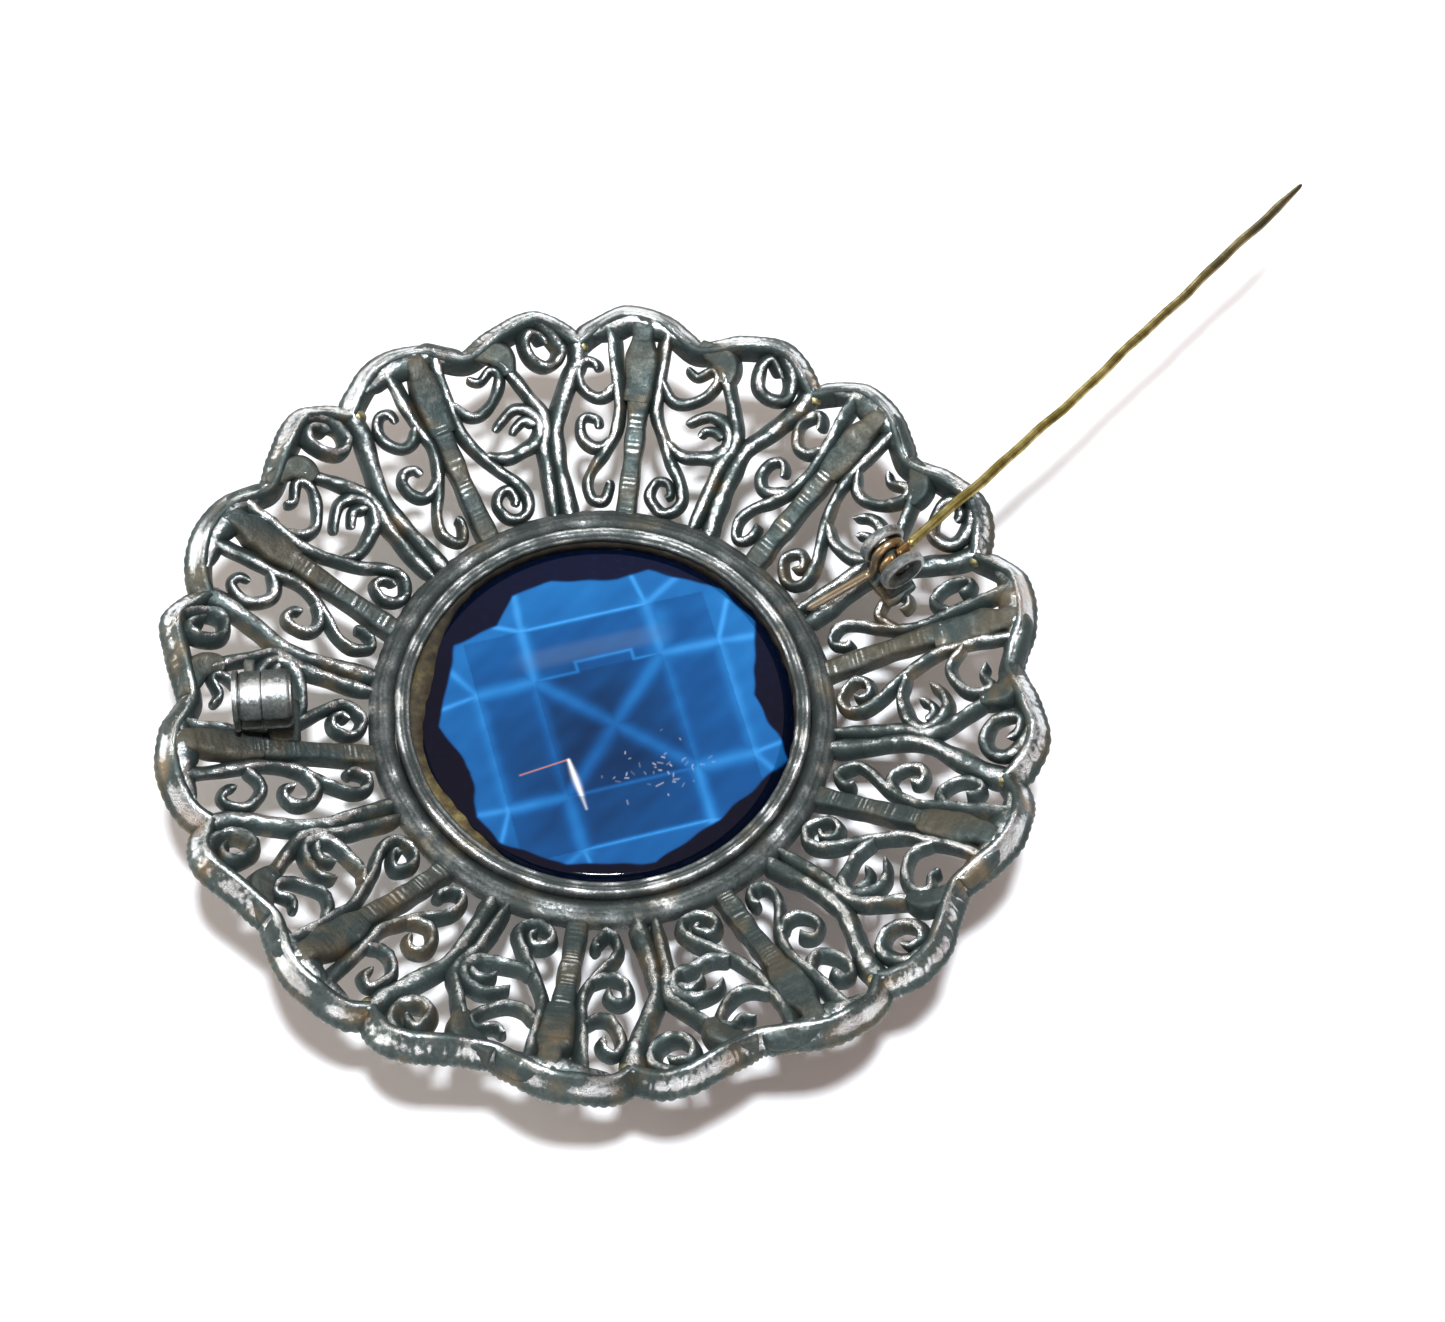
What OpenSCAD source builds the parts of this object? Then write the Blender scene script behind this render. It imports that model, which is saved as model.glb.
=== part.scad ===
// Round openwork brooch seen from its back: ten cast filigree petals round a
// large faceted glass stone, with a swinging pin and a roll-over safety catch.
// Millimetres. +Z points to the back of the brooch. The origin is the centre of
// the stone's front table, on the axis of the dish; the brooch rests on that table.

/* [Dish] */
// Number of cast petals round the dish
petal_count = 10; // [8:1:10]
// Radius of the collar's outer edge, where the petals start
collar_r = 17.3; // [16.5:0.1:18]
// Height of the collar's back face above the stone's table
collar_z = 6.3; // [5.9:0.1:7.5]
// Reach of a petal from the collar to the crest of its rim
petal_reach = 13.8; // [12.5:0.1:14.5]
// Slope of a petal towards the back, in degrees
petal_slope = 21.8; // [18:0.1:23]
// Thickness of the cast filigree
wire_t = 1.1; // [0.8:0.1:1.4]
// Width of a filigree wire
wire_w = 0.75; // [0.6:0.05:0.85]

/* [Stone] */
// Girdle radius of the stone
stone_r = 14.85; // [14.6:0.05:14.9]
// Radius of the stone's front table
table_r = 9; // [7:0.5:11]
// Height of the girdle above the table
girdle_z = 4.3; // [4:0.1:4.5]

/* [Pin] */
// Radius of the pin wire
pin_r = 0.37; // [0.33:0.01:0.4]
// Straight length from the coil to the bend
stem_root = 17.8; // [12:0.1:24]
// Straight length from the bend to the end of the wire
stem_end = 30.2; // [26:0.1:31]
// Change of direction at the bend, in degrees
stem_bend = 1.9; // [0:0.1:3]

/* [Catch] */
// Outer radius of the catch barrel
barrel_r = 2.1; // [1.95:0.05:2.15]
// Radius of the passage that takes the pin
mouth_bore_r = 0.95; // [0.8:0.05:1]
// Width of the catch's mouth
mouth_w = 1.3; // [1:0.05:1.4]

/* [Hidden] */
$fn = 64;

// Colours of the finishes
oxidised = [0.36, 0.35, 0.32];
worn = [0.62, 0.60, 0.55];
old_brass = [0.55, 0.46, 0.26];
copper = [0.62, 0.42, 0.28];
navy = [0.05, 0.22, 0.48];

// Petal pattern. A point is [degrees clockwise from the petal's bar, part of the
// way from the collar (0) to the crest of the rim (1)].
first_bar_az = 90.4;
petal_step = 360 / petal_count;
pattern_step = 36;
petal_mid = 9.3;
fine = 2;

left_wire = [[-3.2, 0.97], [-2.9, 0.75], [-2.3, 0.61], [-1.9, 0.50], [-2.8, 0.39], [-4.8, 0.295],
  [-7.4, 0.205], [-8.6, 0.125], [-8.0, 0.06], [-6.3, 0.03], [-4.6, 0.05], [-3.7, 0.105]];
left_top_hook = [[-2.7, 0.64], [-4.5, 0.59], [-6.4, 0.60], [-7.8, 0.67], [-7.9, 0.74],
  [-6.9, 0.79], [-5.6, 0.76]];
left_low_hook = [[-3.0, 0.37], [-5.2, 0.325], [-7.6, 0.32], [-9.1, 0.375], [-9.2, 0.45],
  [-7.8, 0.49], [-6.3, 0.465]];
right_wire = [[5.2, 0.95], [4.7, 0.75], [4.6, 0.62], [5.0, 0.50], [6.6, 0.38], [8.9, 0.275],
  [11.6, 0.185], [13.2, 0.105], [12.4, 0.04], [9.8, 0.015], [7.0, 0.04], [5.9, 0.10],
  [7.0, 0.16], [9.0, 0.155]];
right_top_scroll = [[5.0, 0.67], [7.0, 0.59], [9.5, 0.585], [12.2, 0.65], [13.4, 0.73],
  [12.3, 0.77], [10.2, 0.735], [8.7, 0.77]];
right_low_scroll = [[7.6, 0.365], [9.5, 0.335], [11.8, 0.32], [14.8, 0.335], [17.4, 0.36],
  [19.2, 0.43], [17.6, 0.51], [14.6, 0.54], [12.0, 0.52], [10.4, 0.48]];
leaf = [[9.3, 0.92], [12.0, 0.865], [14.2, 0.79]];
web = [[-5.8, 0.93], [-3, 0.95], [0, 0.955], [3, 0.94], [6.3, 0.90]];
leaf_wire = [[14.2, 0.78], [15.8, 0.69], [18.0, 0.59], [19.8, 0.50], [19.8, 0.42], [19.0, 0.33],
  [18.6, 0.19], [18.3, -0.03]];
stem = [[22.4, -0.03], [21.9, 0.15], [21.6, 0.32], [22.2, 0.45], [24.2, 0.58], [25.8, 0.70],
  [26.6, 0.80], [26.6, 0.92]];
volute = [[20.6, 0.97], [23.2, 0.93], [24.4, 0.86], [23.9, 0.785], [21.9, 0.75], [20.0, 0.78],
  [19.3, 0.86], [20.4, 0.92]];
rim = [[-7.2, 0.94], [-5.8, 0.975], [-3.4, 0.997], [0, 1.0], [3.2, 0.972], [6.5, 0.915],
  [9.4, 0.88], [12.5, 0.90], [16.5, 0.95], [20.0, 0.993], [22.8, 0.98], [24.7, 0.945],
  [25.8, 0.925]];
bar_outer = [[1.4, 0.52], [1.7, 0.97]];
bar_inner = [[0.6, -0.03], [1.4, 0.54]];

bar_w = 1.9;
bar_inner_w = 1.25;
leaf_w = 1.5;
web_w = 1.3;
stem_w = 1.05;
rim_w = 2;
rim_out = 0.75;
rim_t = 1.9;
rim_proud = 0.1;

// Collar and bezel
collar_in_r = 15.3;
collar_t = 1.4;
lip_z = 7.0;
lip_in_r = 14.2;
crimp_z = 2.6;
crimp_r = 14.1;
seat_gap = 0.03;
girdle_t = 0.6;
back_z = 6.2;
back_r = 11.5;
lip_under_z = 6.35;

// Hinge frame: local x along the rivet towards the far ear, local z up
hinge_pos = [20.15, 11.78, 12.0];
hinge_az = 127.6;
rivet_r = 0.62;
run_gap = 0.04;
coil_r = rivet_r + run_gap + pin_r;
turn_x = 0.52;
ear_in = 0.94;
ear_t = 0.8;
ear_r = 1.8;
ear_w = 1.9;
rivet_sink = 0.2;
stem_az = 49.9 - hinge_az;
pad_t = 0.6;
hinge_pad_size = [4.4, 3.4];
hinge_pad_drop = 3.15;
tail_turn = 270;
tail_bend = [turn_x, coil_r, -1.9];
tail_end = [1.75, 6.0, -5.0];
stem_start = 1.2;
joint_gap = 0.05;
knuckle = 0.02;
tip_len = 3.2;
tip_r = 0.16;

// Catch frame: local x along the barrel towards the rim, local y out of the mouth
catch_pos = [-24.0, -4.93, 12.3];
catch_az = 190;
spindle_r = 1.3;
sleeve_gap = 0.04;
barrel_right = -2.2;
collar_face = -0.15;
sleeve_right = -0.08;
sleeve_left = 1.48;
ring_left = 1.95;
ring_extra_r = 0.12;
tab_lift = 22;
tab_size = [1.0, 1.5, 0.6];
catch_pad_size = [2.4, 3.4];
catch_pad_x = -1.35;
catch_pad_drop = 3.4;
foot_w = 1.6;

// Place of a pattern point on a petal's flat panel
function on_panel(p) =
  let (r = collar_r + p[1] * petal_reach, a = (p[0] - petal_mid) * petal_step / pattern_step)
  [r * sin(a), (r * cos(a) - collar_r) / cos(petal_slope)];

// Point at t (0 to 1) of the Catmull-Rom curve between b and c
function curve_point(a, b, c, d, t) =
  0.5 * (2 * b + (c - a) * t + (2 * a - 5 * b + 4 * c - d) * t * t
  + (3 * b - a - 3 * c + d) * t * t * t);

// Smooth curve through all points, with n steps between two of them
function smooth_path(p, n) =
  let (last = len(p) - 1)
  concat([for (i = [0 : last - 1], j = [0 : n - 1])
    curve_point(p[max(i - 1, 0)], p[i], p[i + 1], p[min(i + 2, last)], j / n)], [p[last]]);

// Unit vector square to the path at point i
function side_dir(p, i) =
  let (d = p[min(i + 1, len(p) - 1)] - p[max(i - 1, 0)])
  [-d[1], d[0]] / norm(d);

// Two corners of the blunt end of a stroke, just past its last point
function end_corners(tip, before, w) =
  let (d = (tip - before) / norm(tip - before), s = [-d[1], d[0]])
  [tip + (d + s) * w * 0.27, tip + (d - s) * w * 0.27];

// Closed outline of a stroke of width w along a path
function ribbon(p, w) =
  let (n = len(p) - 1)
  concat([for (i = [0 : n]) p[i] + side_dir(p, i) * w / 2], end_corners(p[n], p[n - 1], w),
    [for (i = [n : -1 : 0]) p[i] - side_dir(p, i) * w / 2], end_corners(p[0], p[1], w));

// Flat stroke through pattern points
module stroke(points, w) {
  polygon(ribbon(smooth_path([for (p = points) on_panel(p)], fine), w));
}

// Straight bar through two pattern points
module bar(points, w) {
  polygon(ribbon([for (p = points) on_panel(p)], w));
}

// Petal wires as one flat outline
module petal_wires() {
  bar(bar_outer, bar_w);
  bar(bar_inner, bar_inner_w);
  stroke(left_wire, wire_w);
  stroke(left_top_hook, wire_w);
  stroke(left_low_hook, wire_w);
  stroke(right_wire, wire_w);
  stroke(right_top_scroll, wire_w);
  stroke(right_low_scroll, wire_w);
  stroke(web, web_w);
  stroke(leaf, leaf_w);
  stroke(leaf_wire, wire_w);
  stroke(stem, stem_w);
  stroke(volute, wire_w);
}

// Rim of a petal as a flat outline, set outwards so that its back edge is on the crest line
module petal_rim() {
  translate([0, rim_out])
    stroke(rim, rim_w);
}

// One cast petal: filigree panel with its two-lobed rim
module petal(index) {
  az = first_bar_az - index * petal_step - petal_mid * petal_step / pattern_step;
  color(oxidised)
    difference() {
      rotate([0, 0, az - 90])
        translate([0, collar_r, collar_z])
          rotate([petal_slope, 0, 0]) {
            translate([0, 0, -wire_t])
              linear_extrude(wire_t)
                petal_wires();
            translate([0, 0, rim_proud - rim_t])
              linear_extrude(rim_t)
                petal_rim();
          }
      cylinder(r = collar_r, h = 2 * collar_z);
    }
}

// Solder at the deep notches between neighbouring petals, as separate beads
module solder_beads() {
  bead_r = 0.9;
  bead_place = 0.885;
  bead_a = 27.3 - petal_mid;
  color(old_brass)
    for (i = [0 : petal_count - 1])
      rotate([0, 0, first_bar_az - i * petal_step - (petal_mid + bead_a) * petal_step / pattern_step - 90])
        translate([0, collar_r + bead_place * petal_reach, collar_z + bead_place * petal_reach
          * tan(petal_slope) - bead_r])
          sphere(r = bead_r, $fn = 32);
}

// Collar that the petals are soldered to
module collar() {
  color(worn)
    rotate_extrude()
      polygon([[collar_in_r, collar_z - collar_t], [collar_r, collar_z - collar_t],
        [collar_r, collar_z], [collar_in_r + 0.6, collar_z + 0.15], [collar_in_r, collar_z + 0.05]]);
}

// Bezel cup: back lip, wall and the front edge crimped over the stone
module bezel_cup() {
  wall_in = stone_r + seat_gap;
  color(worn)
    rotate_extrude() {
      polygon([[wall_in, crimp_z + 0.3], [crimp_r, crimp_z], [crimp_r, crimp_z - 0.35],
        [wall_in, crimp_z - 0.25], [collar_in_r, crimp_z + 0.1], [collar_in_r, lip_z - 0.35],
        [lip_in_r, lip_z - 0.35], [lip_in_r, lip_under_z], [wall_in, lip_under_z - 0.35]]);
      translate([(collar_in_r + lip_in_r) / 2, lip_z - 0.4])
        circle(r = (collar_in_r - lip_in_r) / 2 - 0.01, $fn = 24);
    }
}

// Stone: flat table and sloping crown in front, low sloping back behind
module stone() {
  girdle_top = girdle_z + girdle_t;
  color(navy)
    intersection() {
      union() {
        cylinder(r1 = table_r, r2 = stone_r, h = girdle_z);
        translate([0, 0, girdle_z])
          cylinder(r = stone_r, h = girdle_t);
        translate([0, 0, girdle_top])
          cylinder(r1 = stone_r, r2 = back_r, h = back_z - girdle_top);
      }
      cylinder(r = stone_r, h = back_z);
    }
}

// Old cement between the stone's back and the bezel lip
module cement_bead() {
  color([0.35, 0.30, 0.18])
    rotate_extrude()
      polygon([[13.75, 5.60], [14.78, 5.12], [14.8, 5.95], [14.15, 6.2]]);
}

// Turns a shape from the hinge frame into the dish frame
module at_hinge() {
  translate(hinge_pos)
    rotate([0, 0, hinge_az])
      children();
}

// Shaft along local x from x0 to x1
module x_shaft(r, x0, x1) {
  translate([x0, 0, 0])
    rotate([0, 90, 0])
      cylinder(r = r, h = x1 - x0);
}

// Wire from one point to another: straight, then tapering over its last part
module wire(from, to, r, end_len, end_r) {
  d = to - from;
  translate(from)
    rotate([0, acos(d[2] / norm(d)), atan2(d[1], d[0])])
      rotate_extrude()
        polygon([[0, joint_gap], [r, joint_gap], [r, norm(d) - end_len], [end_r, norm(d)], [0, norm(d)]]);
}

// Plate soldered to the back of the filigree under the hinge
module hinge_pad() {
  color(oxidised)
    at_hinge()
      translate([0, 0, -hinge_pad_drop])
        rotate([-petal_slope + 4, 0, 0])
          translate([-hinge_pad_size[0] / 2, -hinge_pad_size[1] / 2, -pad_t / 2])
            cube([hinge_pad_size[0], hinge_pad_size[1], pad_t]);
}

// Round-topped ear, drilled for the rivet
module hinge_ear(x0) {
  color(worn)
    at_hinge()
      difference() {
        union() {
          x_shaft(ear_r, x0, x0 + ear_t);
          translate([x0, -ear_w / 2, -hinge_pad_drop + pad_t / 2 - 0.05])
            cube([ear_t, ear_w, hinge_pad_drop - pad_t / 2]);
        }
        x_shaft(rivet_r, x0 - 1, x0 + ear_t + 1);
      }
}

module hinge_ear_near() {
  hinge_ear(-ear_in - ear_t);
}

module hinge_ear_far() {
  hinge_ear(ear_in);
}

// Rivet through both ears, with its ends sunk a little
module hinge_rivet() {
  end_x = ear_in + ear_t - rivet_sink;
  color(worn)
    at_hinge()
      x_shaft(rivet_r, -end_x, end_x);
}

// Wire round the rivet at local x, through some degrees that end at the top
module coil_turn(x, turn) {
  translate([x, 0, 0])
    rotate([turn, 0, 0])
      rotate([0, -90, 0])
        rotate_extrude(angle = turn)
          translate([coil_r, 0])
            circle(r = pin_r);
}

// Tail of the pin's spring: its own turn and the end that bears on the collar
module pin_spring_tail() {
  color(copper)
    at_hinge() {
      rotate([-90, 0, 0])
        coil_turn(turn_x, tail_turn);
      wire([turn_x, coil_r, 2 * joint_gap], tail_bend, pin_r - knuckle, pin_r, pin_r - knuckle);
      translate(tail_bend)
        sphere(r = pin_r);
      wire(tail_bend, tail_end, pin_r - knuckle, pin_r, pin_r / 2);
    }
}

// Point at a distance along the first straight part of the stem
function stem_point(d) = [-turn_x + d * cos(stem_az), d * sin(stem_az), coil_r];

// Turn of the coil that the stem grows out of, hollowed where the stem flexes
module pin_coil() {
  color(copper)
    at_hinge()
      difference() {
        union() {
          coil_turn(-turn_x, 360);
          wire(stem_point(0), stem_point(stem_start), pin_r - knuckle, pin_r, pin_r - knuckle);
        }
        translate(stem_point(stem_start))
          sphere(r = pin_r + run_gap);
      }
}

// Stem: from the coil to the bend and on to the tapered end
module pin_stem() {
  root = stem_point(stem_start);
  bend = stem_point(stem_root);
  root_dir = [cos(stem_az), sin(stem_az), 0];
  far_dir = [cos(stem_az + stem_bend), sin(stem_az + stem_bend), 0];
  color(old_brass)
    at_hinge() {
      translate(root)
        sphere(r = pin_r);
      wire(root, bend - joint_gap * root_dir, pin_r - knuckle, pin_r, pin_r - knuckle);
      translate(bend)
        sphere(r = pin_r);
      wire(bend, bend + far_dir * stem_end, pin_r - knuckle, tip_len, tip_r);
    }
}

// Turns a shape from the catch frame into the dish frame
module at_catch() {
  translate(catch_pos)
    rotate([0, 0, catch_az])
      children();
}

// Open-sided tube along local x, with its mouth towards local +y
module c_tube(r_out, r_in, x0, x1) {
  difference() {
    x_shaft(r_out, x0, x1);
    x_shaft(r_in, x0 - 1, x1 + 1);
    translate([x0 - 1, 0, -mouth_w / 2])
      cube([x1 - x0 + 2, r_out + 1, mouth_w]);
  }
}

// Plate soldered to the filigree under the catch
module catch_pad() {
  color(oxidised)
    at_catch()
      translate([catch_pad_x, 0, -catch_pad_drop])
        rotate([0, -petal_slope, 0])
          translate([-catch_pad_size[0] / 2, -catch_pad_size[1] / 2, -pad_t / 2])
            cube([catch_pad_size[0], catch_pad_size[1], pad_t]);
}

// Fixed hook: spindle with its thick half and the foot below it
module catch_hook() {
  color(worn)
    at_catch() {
      c_tube(spindle_r, mouth_bore_r, barrel_right, ring_left);
      c_tube(barrel_r, spindle_r - 0.1, barrel_right, collar_face);
      translate([barrel_right, -foot_w / 2, -catch_pad_drop])
        cube([collar_face - barrel_right, foot_w, catch_pad_drop - spindle_r]);
    }
}

// Ring on the spindle's end that keeps the sleeve on
module catch_end_ring() {
  color(worn)
    at_catch()
      c_tube(barrel_r + ring_extra_r, spindle_r, sleeve_left + 0.07, ring_left);
}

// Turning sleeve with its thumb tab; it closes the mouth when rolled over
module catch_sleeve() {
  sleeve_mid = (sleeve_right + sleeve_left) / 2;
  color(worn)
    at_catch() {
      c_tube(barrel_r, spindle_r + sleeve_gap, sleeve_right, sleeve_left);
      rotate([90 - tab_lift, 0, 0])
        translate([sleeve_mid - tab_size[0] / 2, -tab_size[2] / 2, barrel_r - 0.3])
          cube([tab_size[0], tab_size[2], tab_size[1]]);
    }
}

petal(0);  // petal_01
petal(1);  // petal_02
petal(2);  // petal_03
petal(3);  // petal_04
petal(4);  // petal_05
petal(5);  // petal_06
petal(6);  // petal_07
petal(7);  // petal_08
petal(8);  // petal_09
petal(9);  // petal_10
solder_beads();
collar();
bezel_cup();
cement_bead();
stone();
hinge_pad();
hinge_ear_near();
hinge_ear_far();
hinge_rivet();
pin_spring_tail();
pin_coil();
pin_stem();
catch_pad();
catch_hook();
catch_end_ring();
catch_sleeve();
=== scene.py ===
import math

import bpy
import numpy as np
from mathutils import Matrix, Vector


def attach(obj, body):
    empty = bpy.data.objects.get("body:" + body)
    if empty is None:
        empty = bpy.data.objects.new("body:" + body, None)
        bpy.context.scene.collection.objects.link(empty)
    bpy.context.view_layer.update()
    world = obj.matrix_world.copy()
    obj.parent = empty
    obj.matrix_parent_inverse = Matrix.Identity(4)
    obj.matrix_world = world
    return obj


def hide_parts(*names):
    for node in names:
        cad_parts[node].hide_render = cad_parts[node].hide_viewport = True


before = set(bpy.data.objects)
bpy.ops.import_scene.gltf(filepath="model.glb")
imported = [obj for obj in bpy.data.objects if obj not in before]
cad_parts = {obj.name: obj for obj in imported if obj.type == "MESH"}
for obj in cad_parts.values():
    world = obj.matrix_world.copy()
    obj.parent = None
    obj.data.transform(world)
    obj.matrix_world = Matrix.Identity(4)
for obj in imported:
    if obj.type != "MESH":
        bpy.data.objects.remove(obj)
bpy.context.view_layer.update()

# Round openwork brooch lying on its stone, back upwards. Lengths are in millimetres in the
# functions below and are turned to metres once, where a mesh is made.
MM = 0.001

# ---------------------------------------------------------------- sizes shared with the CAD part
PETALS = 10
STEP = 360.0 / PETALS
FIRST_BAR = 90.4
COLLAR_R = 17.3
RING_R = 16.95
COLLAR_IN = 15.35
COLLAR_Z = 6.3
REACH = 13.8
STONE_R = 14.85
PIN_R = 0.37
HINGE = np.array([20.15, 11.78, 12.0])
HINGE_AZ = 127.6
RIVET_R = 0.62
COIL_R = 1.03
TURN_X = 0.52
EAR_IN = 0.94
EAR_T = 0.8
EAR_R = 1.8
STEM_AZ = 49.9 - HINGE_AZ
STEM_START = 1.2
STEM_ROOT = 17.8
STEM_END = 30.2
STEM_BEND = 1.9
TAIL_BEND = np.array([TURN_X, COIL_R, -1.9])
TAIL_END = np.array([1.75, 6.0, -5.0])
CATCH = np.array([-24.0, -4.93, 12.3])
CATCH_AZ = 190.0
BARREL_R = 2.1
BORE_R = 0.95
SPINDLE_R = 1.3
MOUTH_W = 1.3


# ---------------------------------------------------------------- small maths
def catmull(points, per):
    """Smooth curve through all points: Catmull-Rom, with per samples in each span."""
    p = np.asarray(points, float)
    t = np.linspace(0, len(p) - 1, (len(p) - 1) * per + 1)
    i = np.minimum(t.astype(int), len(p) - 2)
    f = (t - i)[:, None]
    a, b = p[np.maximum(i - 1, 0)], p[i]
    c, d = p[i + 1], p[np.minimum(i + 2, len(p) - 1)]
    return 0.5 * (2 * b + (c - a) * f + (2 * a - 5 * b + 4 * c - d) * f ** 2 + (3 * b - a - 3 * c + d) * f ** 3)


def unit(v):
    """Vectors along the last axis, each divided by its length."""
    return v / np.maximum(np.linalg.norm(v, axis=-1, keepdims=True), 1e-9)


def turned(points, degrees):
    """Points turned about +Z."""
    a = math.radians(degrees)
    x, y = points[..., 0], points[..., 1]
    return np.stack([x * math.cos(a) - y * math.sin(a), x * math.sin(a) + y * math.cos(a), points[..., 2]], -1)


def at_hinge(points):
    """From the hinge frame (x along the rivet) to the brooch frame."""
    return turned(points, HINGE_AZ) + HINGE


def at_catch(points):
    """From the catch frame (x along the barrel, +y out of the mouth) to the brooch frame."""
    return turned(points, CATCH_AZ) + CATCH


def waves(x, y, z, seed, size):
    """Smooth lumps of about the given size in mm, from -1 to 1: a sum of six seeded sine waves."""
    rng = np.random.default_rng(seed)
    total = 0
    for _ in range(6):
        k = rng.normal(size=3)
        k *= rng.uniform(0.7, 1.4) * 2 * math.pi / size / np.linalg.norm(k)
        total = total + np.sin(k[0] * x + k[1] * y + k[2] * z + rng.uniform(0, 6.28))
    return total / 3.2


def waves_at(points, seed, size):
    """The same lumps at points that are given as one array."""
    return waves(points[..., 0], points[..., 1], points[..., 2], seed, size)


def bell(x, centre, width):
    """Weight of 1 at the centre that falls away over the width: exp(-((x - centre) / width)^2)."""
    return np.exp(-(((x - centre) / width) ** 2))


def lengths(path):
    """Distance along a path at each point."""
    return np.concatenate([[0], np.cumsum(np.linalg.norm(np.diff(path, axis=0), axis=1))])


# ---------------------------------------------------------------- mesh building
class Build:
    """Gathers grids of points into one mesh, with a wear value and a tint value at each point; on the stone and
    on the catch the wear value is painted light.
    """

    def __init__(self):
        self.verts, self.faces, self.wear, self.tint, self.along, self.count = [], [], [], [], [], 0

    def grid(self, p, wear=0.0, tint=0.0, along=0.0, wrap=True, caps=True, flip=False):
        """A sheet of quads over an (n, m) grid of points; wrap closes it across m, caps close its ends."""
        n, m = p.shape[:2]
        idx = np.arange(n * m).reshape(n, m) + self.count
        nxt = np.roll(idx, -1, axis=1) if wrap else idx[:, 1:]
        cur = idx if wrap else idx[:, :-1]
        quads = np.stack([cur[:-1], nxt[:-1], nxt[1:], cur[1:]], -1).reshape(-1, 4)
        if flip:
            quads = quads[:, ::-1]
        self.faces += quads.tolist()
        if caps and wrap:
            first, last = idx[0].tolist(), idx[-1].tolist()
            self.faces += [first if flip else first[::-1], last[::-1] if flip else last]
        self.verts.append(p.reshape(-1, 3))
        for store, value in ((self.wear, wear), (self.tint, tint), (self.along, along)):
            store.append(np.broadcast_to(value, (n, m)).reshape(-1))
        self.count += n * m

    def object(self, name, material, body, stands_for=()):
        """The gathered grids as one object, in metres, riding on a body."""
        mesh = bpy.data.meshes.new(name)
        mesh.from_pydata((np.concatenate(self.verts) * MM).tolist(), [], self.faces)
        mesh.validate()
        for key, values in (("wear", self.wear), ("tint", self.tint), ("along", self.along)):
            layer = mesh.attributes.new(key, "FLOAT", "POINT")
            layer.data.foreach_set("value", np.concatenate(values).astype(np.float32))
        mesh.polygons.foreach_set("use_smooth", np.ones(len(mesh.polygons), bool))
        mesh.update()
        piece = bpy.data.objects.new(name, mesh)
        bpy.context.scene.collection.objects.link(piece)
        piece.data.materials.append(material)
        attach(piece, body)
        if stands_for:
            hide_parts(*stands_for)


def round_profile(m, power, flare):
    """Closed wire section, one wide and one deep with its top at 0: a squared-off ellipse, flared to its foot.

    Returns across, height and how far up the rounded top each point lies (0 to 1)."""
    t = np.linspace(0, 2 * math.pi, m, endpoint=False) + math.pi / m
    c, s = np.cos(t), np.sin(t)
    across = 0.5 * np.sign(c) * np.abs(c) ** power
    height = -0.5 + 0.5 * np.sign(s) * np.abs(s) ** power
    across = across * (1 + flare * (-height - 0.35))
    return across, height, np.clip((s - 0.25) / 0.65, 0, 1)


def sweep(path, up, width, depth, section):
    """Section carried along a path: point = path + side * across * width + up * height * depth."""
    along = unit(np.gradient(path, axis=0))
    side = unit(np.cross(along, up))
    up = unit(np.cross(side, along))
    across, height = section[0], section[1]
    w = np.broadcast_to(width, len(path))[:, None, None]
    d = np.broadcast_to(depth, len(path))[:, None, None]
    return path[:, None] + side[:, None] * across[None, :, None] * w + up[:, None] * height[None, :, None] * d


def rounded_ends(n, ends):
    """Width factor that falls to a small value over the first and last few samples: a rounded tip."""
    i = np.arange(n)
    near = np.minimum(i, n - 1 - i) / max(ends, 1)
    return np.sqrt(np.clip(1 - (1 - np.clip(near, 0, 1)) ** 2, 0.03, 1))


def tube(path, radius, sides=14):
    """Round wire along a path, by parallel transport of a first side vector."""
    along = unit(np.gradient(path, axis=0))
    side = np.cross(along[0], [0.13, 0.21, 0.97])
    sides_out = []
    for t in along:
        side = side - t * (side @ t)
        side = side / np.linalg.norm(side)
        sides_out.append(side)
    s = np.array(sides_out)
    b = np.cross(along, s)
    a = np.linspace(0, 2 * math.pi, sides, endpoint=False)
    r = np.broadcast_to(radius, len(path))[:, None, None]
    ring = s[:, None] * np.cos(a)[None, :, None] + b[:, None] * np.sin(a)[None, :, None]
    return path[:, None] + ring * r


# ---------------------------------------------------------------- materials
def colour(code):
    """sRGB hex code to linear RGBA."""
    rgb = [int(code[i:i + 2], 16) / 255 for i in (1, 3, 5)]
    return [c / 12.92 if c <= 0.04045 else ((c + 0.055) / 1.055) ** 2.4 for c in rgb] + [1.0]


def add(tree, kind, inputs=None, **settings):
    """A node with its settings; an input is a value or another node's output."""
    node = tree.nodes.new(kind)
    for key, value in settings.items():
        setattr(node, key, value)
    for key, value in (inputs or {}).items():
        if isinstance(value, bpy.types.NodeSocket):
            tree.links.new(value, node.inputs[key])
        else:
            node.inputs[key].default_value = value
    return node


def material(name):
    """An empty node material with its output; returns the material and its tree."""
    mat = bpy.data.materials.new(name)
    mat.use_nodes = True
    mat.node_tree.nodes.clear()
    return mat, mat.node_tree


def ramp(tree, fac, stops):
    """Colour ramp from (place, colour) pairs."""
    node = add(tree, "ShaderNodeValToRGB", {"Fac": fac})
    node.color_ramp.elements[0].position, node.color_ramp.elements[0].color = stops[0]
    node.color_ramp.elements[1].position, node.color_ramp.elements[1].color = stops[-1]
    for place, value in stops[1:-1]:
        node.color_ramp.elements.new(place).color = value
    return node.outputs["Color"]


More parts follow.
